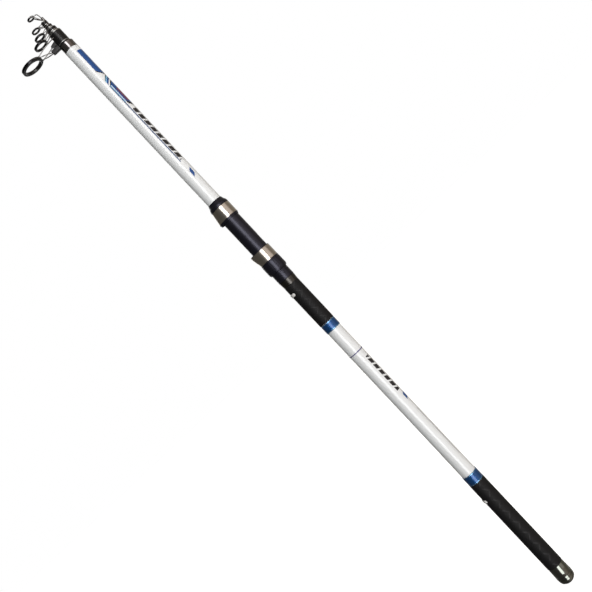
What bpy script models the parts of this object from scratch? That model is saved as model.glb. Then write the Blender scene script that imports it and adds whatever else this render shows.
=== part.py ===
"""Telescopic surf-casting rod, closed, with an empty reel seat.

The rod stands on the Z axis: its butt end is at the origin and its tip points up. The line guides and the
reel foot's bed face -X, which is called the reel side below. Metres throughout.
"""

from math import atan2, cos, hypot, pi, radians, sin, sqrt

import bmesh
import bpy
from mathutils import Vector

MM = 0.001
GAP = 0.3 * MM  # between two pieces that touch or slide on each other
ROUND = 32  # sides of a piece as wide as the blank
SLIM = 24  # sides of the thinner pieces

# The butt blank, a tapered tube.
BLANK_BUTT_RADIUS = 12.0 * MM
BLANK_MOUTH_RADIUS = 11.2 * MM
BLANK_WALL = 1.2 * MM
FERRULE_LENGTH = 12.0 * MM
FERRULE_WALL = 0.4 * MM

# Pieces on the blank, in order from the butt end.
CAP_LENGTH = 31.4 * MM
CAP_NECK_RADIUS = BLANK_BUTT_RADIUS + 0.5 * MM
CAP_BELLY_RADIUS = BLANK_BUTT_RADIUS + 1.2 * MM
CAP_DOME_HEIGHT = 9.0 * MM
CAP_GROOVE = 0.35 * MM
PAD_HEIGHT = 3.2 * MM
PAD_RADIUS = BLANK_BUTT_RADIUS - 2.4 * MM
PAD_LIP = 3.0 * MM  # how far the pad reaches over the cap's hole
LOWER_GRIP_LENGTH = 164.0 * MM
LOWER_WINDING_LENGTH = 15.6 * MM
BARE_BLANK_LENGTH = 283.0 * MM  # between the two windings
SEAM_HEIGHT = 236.0 * MM  # of the seam ring above the lower winding
SEAM_LENGTH = 1.3 * MM
UPPER_WINDING_LENGTH = 14.0 * MM
UPPER_GRIP_LENGTH = 74.6 * MM
END_RING_LENGTH = 9.6 * MM
UPPER_BLANK_LENGTH = 310.6 * MM  # from the seat's nose to the mouth
GRIP_WALL = 0.6 * MM
WINDING_WALL = 0.45 * MM
SEAM_WALL = 0.25 * MM

# The thread that the butt cap screws on.
STUB_LENGTH = 11.0 * MM
STUB_WALL = 1.8 * MM
INSERT_LENGTH = 15.0 * MM
INSERT_WALL = 1.9 * MM
BUMPER_HEAD_HEIGHT = 7.5 * MM

# The reel seat, held off the blank by its two bushings.
BUSHING_LENGTH = 28.0 * MM
BUSHING_WALL = 0.5 * MM
SEAT_WALL = 1.0 * MM
TAIL_LENGTH = 15.6 * MM  # thread left bare behind the nut
NUT_LENGTH = 20.0 * MM
NUT_WALL = 1.75 * MM
MOVING_HOOD_LENGTH = 19.8 * MM
BED_LENGTH = 60.8 * MM  # between the mouths of the two hoods
RIM_LENGTH = 3.6 * MM
FIXED_HOOD_LENGTH = 19.0 * MM
NOSE_LENGTH = 11.3 * MM
HOOD_WALL = 0.75 * MM
LINER_WALL = 0.45 * MM
FIXED_FLARE = 2.9 * MM  # how far a hood's mouth stands out on the reel side
MOVING_FLARE = 3.0 * MM
FLARE_FULL_ANGLE = radians(24)
FLARE_END_ANGLE = radians(66)
BED_DEPTH = 0.5 * MM
BED_RELIEF = 0.1 * MM  # how much lower the bed lies under the hoods
BED_MARGIN = 0.6 * MM  # between a hood's mouth and the raised part of the bed
KEY_WIDTH = 3.0 * MM
KEY_LENGTH = 10.0 * MM
KEY_DEPTH = 0.35 * MM
KEY_CLEARANCE = 0.15 * MM

# Small white clips on the grips.
CLIP_LENGTH = 5.8 * MM
CLIP_WALL = 0.8 * MM
CLIP_HALF_ANGLE = radians(58)
UPPER_CLIP_FROM_TOP = 14.3 * MM
LOWER_CLIP_FROM_TOP = 29.5 * MM

# The three hollow sections and the solid tip: wall, tip radius as a share of the base radius, and length
# inside the section below when closed.
SECTION_WALLS = {"second": 1.0 * MM, "third": 0.8 * MM, "fourth": 0.6 * MM, "tip": 0.0}
SECTION_TAPERS = {"second": 0.815, "third": 0.85, "fourth": 0.735, "tip": 0.42}
SECTION_INSIDE = {"second": 930.0 * MM, "third": 920.0 * MM, "fourth": 910.0 * MM, "tip": 900.0 * MM}

WIRE_RADIUS = 0.8 * MM
WIRE_SIDES = 6
SOCKET_DEPTH = 1.0 * MM  # how deep a guide's leg sits in its winding


def clear_scene():
    for obj in list(bpy.data.objects):
        bpy.data.objects.remove(obj, do_unlink=True)


# Finishes: colour, roughness, metallic.
FINISHES = {
    "white_lacquer": ((0.80, 0.81, 0.80), 0.25, 0.0),
    "dark_chrome": ((0.30, 0.30, 0.31), 0.15, 1.0),
    "gunmetal": ((0.36, 0.34, 0.31), 0.28, 1.0),
    "black_plastic": ((0.022, 0.022, 0.026), 0.45, 0.0),
    "black_rubber": ((0.015, 0.015, 0.015), 0.75, 0.0),
    "blue_thread": ((0.02, 0.10, 0.34), 0.25, 0.4),
    "violet_thread": ((0.10, 0.08, 0.22), 0.35, 0.0),
    "black_thread": ((0.012, 0.012, 0.013), 0.3, 0.0),
    "white_plastic": ((0.82, 0.82, 0.80), 0.4, 0.0),
    "tape": ((0.62, 0.55, 0.40), 0.8, 0.0),
    "foam": ((0.05, 0.05, 0.05), 0.9, 0.0),
    "glass_fibre": ((0.03, 0.03, 0.035), 0.3, 0.0),
    "steel_wire": ((0.55, 0.55, 0.55), 0.25, 1.0),
    "black_ceramic": ((0.02, 0.02, 0.022), 0.12, 0.0),
}


def finish(name):
    colour, roughness, metallic = FINISHES[name]
    material = bpy.data.materials.get(name) or bpy.data.materials.new(name)
    material.use_nodes = True
    shader = material.node_tree.nodes["Principled BSDF"]
    shader.inputs["Base Color"].default_value = (*colour, 1.0)
    shader.inputs["Roughness"].default_value = roughness
    shader.inputs["Metallic"].default_value = metallic
    material.diffuse_color = (*colour, 1.0)
    return material


def anchor(name, height, parent=None):
    """An empty on the rod's axis. What it carries has heights measured from it."""
    empty = bpy.data.objects.new(name, None)
    empty.empty_display_size = 0.02
    bpy.context.scene.collection.objects.link(empty)
    empty.parent = parent
    empty.location.z = height - (world_height(parent) if parent else 0.0)
    return empty


def world_height(empty):
    return empty.location.z + (world_height(empty.parent) if empty.parent else 0.0)


def node(name, bm, finish_name, parent, location=(0.0, 0.0, 0.0)):
    """The named object made from a bmesh."""
    bmesh.ops.recalc_face_normals(bm, faces=bm.faces)
    mesh = bpy.data.meshes.new(name)
    bm.to_mesh(mesh)
    bm.free()
    mesh.shade_smooth()
    mesh.set_sharp_from_angle(angle=radians(35))
    mesh.materials.append(finish(finish_name))
    obj = bpy.data.objects.new(name, mesh)
    bpy.context.scene.collection.objects.link(obj)
    obj.parent = parent
    obj.location = location
    return obj


def turned(outline, sides=ROUND):
    """A bmesh turned about Z from (radius, height) points: a closed outline, or one from axis to axis."""
    bm = bmesh.new()
    points = [bm.verts.new((radius, 0.0, height)) for radius, height in outline]
    solid = outline[0][0] == 0.0 and outline[-1][0] == 0.0
    pairs = zip(points, points[1:] if solid else points[1:] + points[:1])
    edges = [bm.edges.new(pair) for pair in pairs]
    bmesh.ops.spin(
        bm, geom=points + edges, cent=(0, 0, 0), axis=(0, 0, 1), angle=2 * pi, steps=sides, use_merge=True
    )
    bmesh.ops.remove_doubles(bm, verts=bm.verts, dist=1e-7)
    return bm


def sleeve(bore, outside, low, high, sides=ROUND, edge=0.0):
    """A plain tube between two heights, with its outer edges broken."""
    outline = [(bore, high), (bore, low)]
    if edge:
        outline += [(outside - edge, low), (outside, low + edge)]
        outline += [(outside, high - edge), (outside - edge, high)]
    else:
        outline += [(outside, low), (outside, high)]
    return turned(outline, sides)


def arc(centre, radius, start, end, steps):
    """(radius, height) points along an arc, angles from the outward direction."""
    angles = [start + (end - start) * step / steps for step in range(steps + 1)]
    return [(centre[0] + radius * cos(a), centre[1] + radius * sin(a)) for a in angles]


def cut(obj, cutter, operation="DIFFERENCE"):
    """A Boolean with a helper object, which stays out of the model."""
    cutter.hide_render = True
    cutter.display_type = "WIRE"
    modifier = obj.modifiers.new(cutter.name, "BOOLEAN")
    modifier.object = cutter
    modifier.operation = operation


def block(name, low, high, parent):
    """A helper box between two corners."""
    bm = bmesh.new()
    bmesh.ops.create_cube(bm, size=1.0)
    for vert in bm.verts:
        vert.co = [lo + (hi - lo) * (co + 0.5) for lo, hi, co in zip(low, high, vert.co)]
    return node(name, bm, "black_plastic", parent)


def sweep(path, radius, sides=WIRE_SIDES):
    """A bmesh wire along the points, with flat ends."""
    curve = bpy.data.curves.new("wire", "CURVE")
    curve.dimensions = "3D"
    curve.bevel_depth = radius
    curve.bevel_resolution = sides // 2 - 2
    curve.use_fill_caps = True
    spline = curve.splines.new("POLY")
    spline.points.add(len(path) - 1)
    for point, place in zip(spline.points, path):
        point.co = (*place, 1.0)
    helper = bpy.data.objects.new("wire", curve)
    bpy.context.scene.collection.objects.link(helper)
    mesh = bpy.data.meshes.new_from_object(helper.evaluated_get(bpy.context.evaluated_depsgraph_get()))
    bpy.data.objects.remove(helper)
    bm = bmesh.new()
    bm.from_mesh(mesh)
    bmesh.ops.remove_doubles(bm, verts=bm.verts, dist=1e-6)
    return bm


def smooth_path(path, steps=3):
    """Points on a Catmull-Rom curve through the path."""
    points = [Vector(p) for p in path]
    ends = [2 * points[0] - points[1]] + points + [2 * points[-1] - points[-2]]
    curve = []
    for a, b, c, d in zip(ends, ends[1:], ends[2:], ends[3:]):
        for step in range(steps):
            t = step / steps
            bend = (2 * a - 5 * b + 4 * c - d) * t**2 + (3 * b - a - 3 * c + d) * t**3
            curve.append(0.5 * (2 * b + (c - a) * t + bend))
    return curve + [points[-1]]


# Heights of the pieces on the blank, each from the one below.
BLANK_BOTTOM = CAP_LENGTH + GAP
LOWER_GRIP_BOTTOM = BLANK_BOTTOM
LOWER_WINDING_BOTTOM = LOWER_GRIP_BOTTOM + LOWER_GRIP_LENGTH + GAP
LOWER_WINDING_TOP = LOWER_WINDING_BOTTOM + LOWER_WINDING_LENGTH
UPPER_WINDING_BOTTOM = LOWER_WINDING_TOP + BARE_BLANK_LENGTH
UPPER_GRIP_BOTTOM = UPPER_WINDING_BOTTOM + UPPER_WINDING_LENGTH + GAP
UPPER_GRIP_TOP = UPPER_GRIP_BOTTOM + UPPER_GRIP_LENGTH
END_RING_BOTTOM = UPPER_GRIP_TOP + GAP
SEAT_BOTTOM = END_RING_BOTTOM + END_RING_LENGTH + GAP
NUT_BOTTOM = SEAT_BOTTOM + TAIL_LENGTH
MOVING_HOOD_BOTTOM = NUT_BOTTOM + NUT_LENGTH + GAP
MOVING_MOUTH = MOVING_HOOD_BOTTOM + MOVING_HOOD_LENGTH
FIXED_MOUTH = MOVING_MOUTH + BED_LENGTH
FIXED_HOOD_BOTTOM = FIXED_MOUTH + RIM_LENGTH
FIXED_HOOD_TOP = FIXED_HOOD_BOTTOM + FIXED_HOOD_LENGTH
NOSE_BOTTOM = FIXED_HOOD_TOP + GAP
NOSE_TOP = NOSE_BOTTOM + NOSE_LENGTH
MOUTH = NOSE_TOP + UPPER_BLANK_LENGTH


def blank_radius(height):
    """The blank's outer radius at a height."""
    share = (height - BLANK_BOTTOM) / (MOUTH - BLANK_BOTTOM)
    return BLANK_BUTT_RADIUS + (BLANK_MOUTH_RADIUS - BLANK_BUTT_RADIUS) * share


# The seat's radii, each from the one inside it.
HOOD_TRAVEL = 20.0 * MM
SEAT_BORE = blank_radius(SEAT_BOTTOM) + GAP + BUSHING_WALL + GAP
SEAT_RADIUS = SEAT_BORE + SEAT_WALL
LINER_BORE = SEAT_RADIUS + GAP
LINER_RADIUS = LINER_BORE + LINER_WALL
HOOD_BORE = LINER_RADIUS + GAP
HOOD_RADIUS = HOOD_BORE + HOOD_WALL
NUT_RADIUS = LINER_BORE + NUT_WALL


def on_blank(name, low, length, wall, finish_name, parent):
    """A sleeve on the tapered blank, its own outside tapered with it and its edges broken."""
    high = low + length
    edge = wall / 2
    low_bore = blank_radius(low) + GAP
    high_bore = blank_radius(high) + GAP
    outline = [(high_bore, high), (low_bore, low)]
    outline += [(low_bore + wall - edge, low), (low_bore + wall, low + edge)]
    outline += [(high_bore + wall, high - edge), (high_bore + wall - edge, high)]
    return node(name, turned(outline), finish_name, parent)


def butt_section(root):
    """The blank, turned down at its mouth under a metal ferrule."""
    shoulder = MOUTH - FERRULE_LENGTH
    spigot = BLANK_MOUTH_RADIUS - FERRULE_WALL - GAP
    outline = [
        (BLANK_MOUTH_RADIUS - BLANK_WALL, MOUTH),
        (BLANK_BUTT_RADIUS - BLANK_WALL, BLANK_BOTTOM),
        (BLANK_BUTT_RADIUS, BLANK_BOTTOM),
        (blank_radius(shoulder), shoulder),
        (spigot, shoulder),
        (spigot, MOUTH),
    ]
    node("butt_section", turned(outline), "white_lacquer", root)
    ferrule = sleeve(spigot + GAP, BLANK_MOUTH_RADIUS, shoulder + GAP, MOUTH, edge=0.15 * MM)
    node("mouth_ferrule", ferrule, "dark_chrome", root)


def grips_and_windings(root):
    on_blank("lower_grip", LOWER_GRIP_BOTTOM, LOWER_GRIP_LENGTH, GRIP_WALL, "black_rubber", root)
    on_blank("upper_grip", UPPER_GRIP_BOTTOM, UPPER_GRIP_LENGTH, GRIP_WALL, "black_rubber", root)
    on_blank("lower_winding", LOWER_WINDING_BOTTOM, LOWER_WINDING_LENGTH, WINDING_WALL, "blue_thread", root)
    on_blank("upper_winding", UPPER_WINDING_BOTTOM, UPPER_WINDING_LENGTH, WINDING_WALL, "blue_thread", root)
    on_blank("seam_ring", LOWER_WINDING_TOP + SEAM_HEIGHT, SEAM_LENGTH, SEAM_WALL, "violet_thread", root)


def line_clip(name, grip_top, from_top, root):
    """A white clip bent round the reel side of a grip, with round ends."""
    centre = grip_top - from_top
    inner = blank_radius(centre - CLIP_LENGTH) + GAP + GRIP_WALL + GAP
    half = CLIP_LENGTH / 2
    end_angle = half / inner  # the angle that a round end takes up
    bm = bmesh.new()
    steps = 16
    columns = []
    for step in range(steps + 1):
        angle = CLIP_HALF_ANGLE * (2 * step / steps - 1)
        from_end = (CLIP_HALF_ANGLE - abs(angle)) / end_angle
        reach = half * sqrt(max(0.1, 1 - (1 - min(1.0, from_end)) ** 2))
        corners = [(inner, -reach), (inner, reach), (inner + CLIP_WALL, reach), (inner + CLIP_WALL, -reach)]
        columns.append([bm.verts.new((-r * cos(angle), r * sin(angle), centre + z)) for r, z in corners])
    for near, far in zip(columns, columns[1:]):
        for i in range(4):
            bm.faces.new((near[i], near[i - 1], far[i - 1], far[i]))
    bm.faces.new(columns[0])
    bm.faces.new(columns[-1])
    node(name, bm, "white_plastic", root)


def butt_cap(root):
    """The screw cap with its rubber pad, and the foam bumper and threaded insert that it works with."""
    turn = anchor("cap_turn", 0.0, anchor("cap_slide", 0.0, root))
    insert_top = BLANK_BOTTOM + INSERT_LENGTH
    insert_radius = blank_radius(insert_top) - BLANK_WALL - GAP
    stub_radius = insert_radius - INSERT_WALL - GAP
    stub_bore = stub_radius - STUB_WALL
    plug_radius = PAD_RADIUS - PAD_LIP
    plug_top = PAD_HEIGHT + 6 * MM
    insert = sleeve(stub_radius + GAP, insert_radius, BLANK_BOTTOM, insert_top, SLIM)
    node("butt_insert", insert, "gunmetal", root)
    dome = arc((0.0, CAP_DOME_HEIGHT), CAP_BELLY_RADIUS - CAP_GROOVE, -radians(28), -radians(4), 3)
    outline = [
        (plug_radius, PAD_HEIGHT + GAP),
        (PAD_RADIUS + 0.2 * MM, PAD_HEIGHT + GAP),
        *dome,
        (CAP_BELLY_RADIUS - CAP_GROOVE, CAP_DOME_HEIGHT + 1.4 * MM),
        (CAP_BELLY_RADIUS, CAP_DOME_HEIGHT + 1.8 * MM),
        (CAP_BELLY_RADIUS, CAP_DOME_HEIGHT + 4.0 * MM),
        (CAP_NECK_RADIUS, CAP_LENGTH),
        (stub_radius, CAP_LENGTH),
        (stub_radius, CAP_LENGTH + STUB_LENGTH),
        (stub_bore, CAP_LENGTH + STUB_LENGTH),
        (stub_bore, plug_top + 1 * MM),
        (plug_radius, plug_top + 1 * MM),
    ]
    node("butt_cap", turned(outline), "gunmetal", turn)
    pad = [
        (0.0, 0.0),
        (plug_radius, 0.0),
        (PAD_RADIUS - 1.2 * MM, 0.7 * MM),
        (PAD_RADIUS, 2.2 * MM),
        (PAD_RADIUS, PAD_HEIGHT),
        (plug_radius - GAP, PAD_HEIGHT),
        (plug_radius - GAP, plug_top),
        (0.0, plug_top),
    ]
    node("butt_pad", turned(pad, SLIM), "black_rubber", turn)
    head = CAP_LENGTH + STUB_LENGTH + GAP
    bumper = [
        (0.0, plug_top + 1 * MM),
        (stub_bore - GAP, plug_top + 1 * MM),
        (stub_bore - GAP, head),
        (stub_radius - GAP, head),
        (stub_radius - GAP, head + BUMPER_HEAD_HEIGHT),
        (0.0, head + BUMPER_HEAD_HEIGHT),
    ]
    node("cap_bumper", turned(bumper, SLIM), "foam", turn.parent)


def flare(bm, reach):
    """Pushes the reel side of a turned hood out by reach(height), most in the middle and none at the sides."""
    for vert in bm.verts:
        angle = abs(atan2(vert.co.y, -vert.co.x))
        share = min(1.0, max(0.0, (FLARE_END_ANGLE - angle) / (FLARE_END_ANGLE - FLARE_FULL_ANGLE)))
        vert.co.x -= reach(vert.co.z) * share * share * (3 - 2 * share)
    return bm


def fixed_flare(height):
    """The fixed hood widens in a straight slope from its nose to its mouth."""
    return FIXED_FLARE * min(1.0, max(0.0, (FIXED_HOOD_TOP - height) / FIXED_HOOD_LENGTH))


def moving_flare(height):
    """The moving hood swells in a curve from the nut to its mouth."""
    share = min(1.0, max(0.0, (height - MOVING_HOOD_BOTTOM) / MOVING_HOOD_LENGTH))
    return MOVING_FLARE * sin(share * pi / 2) ** 1.5


def rows(low, high, steps):
    return [low + (high - low) * step / steps for step in range(steps + 1)]


def hood(heights, reach):
    """A hood's shell: a sleeve with rows of points at the heights, flared on the reel side."""
    outline = [(HOOD_BORE, height) for height in reversed(heights)]
    outline += [(HOOD_RADIUS, height) for height in heights]
    return flare(turned(outline), reach)


def reel_seat(root):
    """Body, bushings, nose, end ring and the fixed hood."""
    tube = sleeve(SEAT_BORE, SEAT_RADIUS, SEAT_BOTTOM, FIXED_HOOD_TOP - GAP)
    body = node("seat_body", tube, "black_plastic", root)
    far = 2 * SEAT_RADIUS
    bed_high = FIXED_HOOD_TOP - 8 * MM
    bed = block("bed_cutter", (-far, -far, MOVING_HOOD_BOTTOM), (BED_DEPTH - SEAT_RADIUS, far, bed_high), root)
    cut(body, bed)
    ends = [("lower", MOVING_HOOD_BOTTOM - MM, MOVING_MOUTH + BED_MARGIN)]
    ends.append(("upper", FIXED_MOUTH - BED_MARGIN, bed_high + MM))
    for end, low, high in ends:
        relief = (BED_DEPTH + BED_RELIEF - SEAT_RADIUS, far, high)
        cut(body, block(end + "_relief_cutter", (-far, -far, low), relief, root))
    floor = SEAT_RADIUS - KEY_DEPTH - KEY_CLEARANCE
    half_width = KEY_WIDTH / 2 + GAP
    low, high = SEAT_BOTTOM - GAP, MOVING_MOUTH + HOOD_TRAVEL
    cut(body, block("groove_cutter", (floor, -half_width, low), (far, half_width, high), root))
    upper = FIXED_HOOD_TOP - 3 * MM - BUSHING_LENGTH
    for name, low in (("lower", SEAT_BOTTOM + 3 * MM), ("upper", upper)):
        bushing = sleeve(blank_radius(low) + GAP, SEAT_BORE - GAP, low, low + BUSHING_LENGTH, SLIM)
        node("seat_bushing_" + name, bushing, "tape", root)
    nose_bore = blank_radius(NOSE_BOTTOM) + GAP
    cone = arc((HOOD_RADIUS - 9 * MM, NOSE_BOTTOM + 1.0 * MM), 9 * MM, 0.0, radians(38), 3)
    outline = [(nose_bore, NOSE_TOP), (nose_bore, NOSE_BOTTOM), (HOOD_RADIUS, NOSE_BOTTOM)]
    outline += cone + [(nose_bore + 0.5 * MM, NOSE_TOP)]
    node("seat_nose", turned(outline), "black_plastic", root)
    ring_bore = blank_radius(END_RING_BOTTOM) + GAP
    end_ring = [
        (ring_bore, SEAT_BOTTOM - GAP),
        (ring_bore, END_RING_BOTTOM),
        (ring_bore + 0.6 * MM, END_RING_BOTTOM),
        (SEAT_RADIUS - 0.5 * MM, SEAT_BOTTOM - GAP - 0.5 * MM),
        (SEAT_RADIUS - 0.9 * MM, SEAT_BOTTOM - GAP),
    ]
    node("seat_end_ring", turned(end_ring), "gunmetal", root)
    heights = rows(FIXED_HOOD_BOTTOM, FIXED_HOOD_TOP, 3)
    node("fixed_hood", hood(heights, fixed_flare), "gunmetal", root)
    rim_top = FIXED_HOOD_BOTTOM - GAP
    liner_top = FIXED_HOOD_TOP - GAP
    outline = [
        (LINER_BORE, liner_top),
        (LINER_BORE, FIXED_MOUTH),
        (LINER_RADIUS, FIXED_MOUTH),
        (HOOD_RADIUS - 0.2 * MM, FIXED_MOUTH + 2.2 * MM),
        (HOOD_RADIUS + 0.15 * MM, rim_top),
        (LINER_RADIUS, rim_top),
        *[(LINER_RADIUS, height) for height in heights[:-1]],
        (LINER_RADIUS, liner_top),
    ]
    node("fixed_hood_liner", flare(turned(outline), fixed_flare), "black_plastic", root)


def moving_hood(root):
    """The hood that clamps the reel foot, keyed to the seat, and the nut that drives it."""
    slide = anchor("hood_slide", MOVING_HOOD_BOTTOM, root)
    turn = anchor("nut_turn", NUT_BOTTOM, slide)
    to_slide = (0.0, 0.0, -MOVING_HOOD_BOTTOM)
    lip = MOVING_MOUTH - 0.7 * MM
    heights = rows(MOVING_HOOD_BOTTOM, lip - GAP, 4)
    node("moving_hood", hood(heights, moving_flare), "gunmetal", slide, to_slide)
    outline = [(LINER_BORE, MOVING_MOUTH)] + [(LINER_BORE, height) for height in reversed(heights)]
    outline += [(LINER_RADIUS, height) for height in heights]
    outline += [(LINER_RADIUS, lip), (HOOD_RADIUS - 0.3 * MM, lip), (HOOD_RADIUS - 0.5 * MM, MOVING_MOUTH)]
    liner = node("moving_hood_liner", flare(turned(outline), moving_flare), "black_plastic", slide, to_slide)
    key_low = MOVING_HOOD_BOTTOM + 2 * MM
    key = block(
        "key",
        (SEAT_RADIUS - KEY_DEPTH, -KEY_WIDTH / 2, key_low),
        (LINER_RADIUS - LINER_WALL / 4, KEY_WIDTH / 2, key_low + KEY_LENGTH),
        slide,
    )
    key.location = to_slide
    cut(liner, key, "UNION")
    step = NUT_WALL / 5
    nut = [
        (LINER_BORE, NUT_LENGTH),
        (LINER_BORE, 0.0),
        (LINER_BORE + NUT_WALL / 3, 0.0),
        (NUT_RADIUS, 2.2 * MM),
        (NUT_RADIUS, NUT_LENGTH - 1.2 * MM),
        (NUT_RADIUS - step, NUT_LENGTH - 0.8 * MM),
        (NUT_RADIUS - step, NUT_LENGTH),
    ]
    node("lock_nut", turned(nut), "black_plastic", turn)


def section_radii():
    """Base and tip radius of each sliding section, each base fitting the mouth of the section below."""
    bore = BLANK_MOUTH_RADIUS - BLANK_WALL
    bases, tips = {}, {}
    for name, wall in SECTION_WALLS.items():
        bases[name] = bore - GAP
        tips[name] = bases[name] * SECTION_TAPERS[name]
        bore = tips[name] - wall
    return bases, tips


BASE_RADII, TIP_RADII = section_radii()


class Guide:
    """A line guide's sizes. Heights are above the lower end of its collar."""

    def __init__(self, name, bore, length, wrap, swell, stand, ring_radius, hole_radius, ring_at, thickness):
        self.name = name
        self.bore = bore
        self.length = length  # of the collar
        self.radius = bore + wrap + swell / 2  # of the collar
        self.shift = swell / 2  # of the collar towards the reel side, over the guide's feet
        self.reach = bore + wrap + swell  # of the collar from the rod's axis, on the reel side
        self.height = self.reach + stand  # of the ring's centre from the rod's axis
        self.ring_radius = ring_radius
        self.hole_radius = hole_radius
        self.ring_at = ring_at
        self.thickness = thickness  # of the ring, along the rod
        self.edge = min(0.8 * MM, 0.6 * wrap)


SLIDER_TRAVEL = 300.0 * MM
SLIDER_LENGTH = 8.0 * MM
TIP_TUBE_WALL = 0.6 * MM
TIP_TUBE_LENGTH = 6.0 * MM
TIP_LENGTH = SLIDER_LENGTH + 2 * GAP + TIP_TUBE_LENGTH - 1.0 * MM  # of the tip section outside the mouth


def slider_bore():
    """The sliding guide jams where the tip section has grown as thick as its bore."""
    share = (TIP_LENGTH + SLIDER_TRAVEL) / (TIP_LENGTH + SECTION_INSIDE["tip"])
    return TIP_RADII["tip"] + (BASE_RADII["tip"] - TIP_RADII["tip"]) * share + GAP / 2


# Name, bore, length, wrap, swell, stand, ring radius, hole radius, ring's height, thickness.
GUIDE_SIZES = [
    ("stripper", TIP_RADII["second"] + GAP, 23.4, 0.65, 1.95, 46.8, 17.6, 12.7, 9.9, 5.0),
    ("middle_guide", TIP_RADII["third"] + GAP, 7.1, 0.65, 2.85, 19.1, 11.0, 7.5, -0.6, 3.6),
    ("upper_guide", TIP_RADII["fourth"] + GAP, 5.7, 0.6, 3.2, 14.3, 8.8, 5.7, 1.0, 3.0),
    ("sliding_guide", slider_bore(), SLIDER_LENGTH / MM, 0.77, 4.9, 11.9, 7.0, 4.6, 5.6, 2.6),
    ("tip_top", TIP_RADII["tip"] + GAP, TIP_TUBE_LENGTH / MM, 0.6, 0.0, 10.7, 5.9, 3.5, 15.2, 2.4),
]
STRIPPER, MIDDLE, UPPER, SLIDER, TIP_TOP = [
    Guide(name, bore, *[size * MM for size in sizes]) for name, bore, *sizes in GUIDE_SIZES
]
HOOP_WALL = 0.9 * MM
SHOCK_RING_WALL = 0.9 * MM
FOOT_LENGTH = 7.0 * MM  # of the block under the stripper guide, along the rod
FOOT_REACH = STRIPPER.reach + 12.8 * MM
FOOT_WIDTH = 7.0 * MM


def collar(guide):
    """A round collar whose outside is shifted towards the reel side, over the guide's feet."""
    bm = sleeve(guide.bore, guide.radius, 0.0, guide.length, SLIM, guide.edge)
    for vert in bm.verts:
        if hypot(vert.co.x, vert.co.y) > (guide.bore + guide.radius - guide.edge) / 2:
            vert.co.x -= guide.shift
    return bm


def ring_outline(inner, outer, thickness, steps=4):
    """Outline of a ring whose bore is rounded and whose outside is flat."""
    half = thickness / 2
    depth = min(half, 0.6 * (outer - inner))
    angles = [pi / 2 - pi * step / steps for step in range(steps + 1)]
    bulge = [(inner + depth * (1 - cos(angle)), half * sin(angle)) for angle in angles]
    return bulge + [(outer, -half), (outer, half)]


def ring_pieces(guide, turn, shock_ring):
    """The ceramic ring, on the large guide with a softer ring round it."""
    place = (-guide.height, 0.0, guide.ring_at)
    outer = guide.ring_radius - HOOP_WALL - GAP
    if shock_ring:
        cushion = sleeve(outer - SHOCK_RING_WALL, outer, -0.45 * guide.thickness, 0.45 * guide.thickness, ROUND)
        node(guide.name + "_shock_ring", cushion, "black_rubber", turn, place)
        outer -= SHOCK_RING_WALL + GAP
    ring = turned(ring_outline(guide.hole_radius, outer, guide.thickness), ROUND if shock_ring else SLIM)
    node(guide.name + "_ring", ring, "black_ceramic", turn, place)


def hoop(guide):
    half = 0.4 * guide.thickness
    sides = ROUND if guide is STRIPPER else SLIM
    return sleeve(guide.ring_radius - HOOP_WALL, guide.ring_radius, -half, half, sides)


def on_hoop(guide, angle, side, rise):
    """A place on the outside of a guide's hoop, its angle measured from the rod's side."""
    reach = guide.ring_radius + 0.3 * WIRE_RADIUS
    return Vector((reach * cos(angle) - guide.height, side * reach * sin(angle), guide.ring_at + rise))


def legs(guide, low, side_angle, hoop_angle, rise, start=None):
    """A pair of wires from the collar, or from start, to the hoop, which they follow for a short way."""
    paths = []
    for side in (-1, 1):
        out = Vector((-cos(side_angle), side * sin(side_angle), 0.0))
        foot = Vector((-guide.shift, 0.0, low)) + out * (guide.radius - SOCKET_DEPTH)
        if start:
            foot = Vector((start[0], side * start[1], start[2]))
        near = on_hoop(guide, hoop_angle, side, rise)
        bow = Vector((0.0, side * 0.05 * (near - foot).length, 0.0))
        wire = smooth_path([foot, foot.lerp(near, 0.5) + bow, near], 2)
        paths.append(wire + round_hoop(guide, hoop_angle, side, rise))
    return paths


def round_hoop(guide, angle, side, rise, turn=radians(21), steps=2):
    """Points that carry a wire on round the hoop, after the one at the angle."""
    return [on_hoop(guide, angle + turn * (step + 1) / steps, side, rise) for step in range(steps)]


def wire_frame(guide, frame, paths, held_by, parent):
    """Joins the wires to the frame and lets their feet into the piece that holds them."""
    for index, path in enumerate(paths):
        cut(frame, node(f"{frame.name}_wire_{index}", sweep(path, WIRE_RADIUS), "steel_wire", parent), "UNION")
        inwards = (path[0] - path[1]).normalized()
        socket = sweep([path[0] + inwards * GAP, path[0] - inwards * 4 * SOCKET_DEPTH], WIRE_RADIUS + GAP)
        cut(held_by, node(f"{held_by.name}_socket_{index}", socket, "steel_wire", parent))


def collar_guide(guide, turn, finish_name, piece):
    """A guide on its collar, with a wire frame of four legs."""
    winding = node(f"{guide.name}_{piece}", collar(guide), finish_name, turn)
    frame = node(guide.name + "_frame", hoop(guide), "steel_wire", turn, (-guide.height, 0.0, guide.ring_at))
    rise = 0.15 * guide.thickness
    front = legs(guide, guide.length * 0.72, radians(46), radians(34), rise)
    wire_frame(guide, frame, front, winding, turn)
    if guide is STRIPPER:
        foot = stripper_foot(turn)
        start = (SOCKET_DEPTH - FOOT_REACH, 0.25 * FOOT_WIDTH, FOOT_LENGTH / 2 + GAP)
        wire_frame(guide, frame, legs(guide, 0.0, 0.0, radians(22), -rise, start), foot, turn)
    else:
        back = legs(guide, guide.length * 0.24, radians(20), radians(20), -rise)
        wire_frame(guide, frame, back, winding, turn)
    ring_pieces(guide, turn, guide is STRIPPER)


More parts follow.
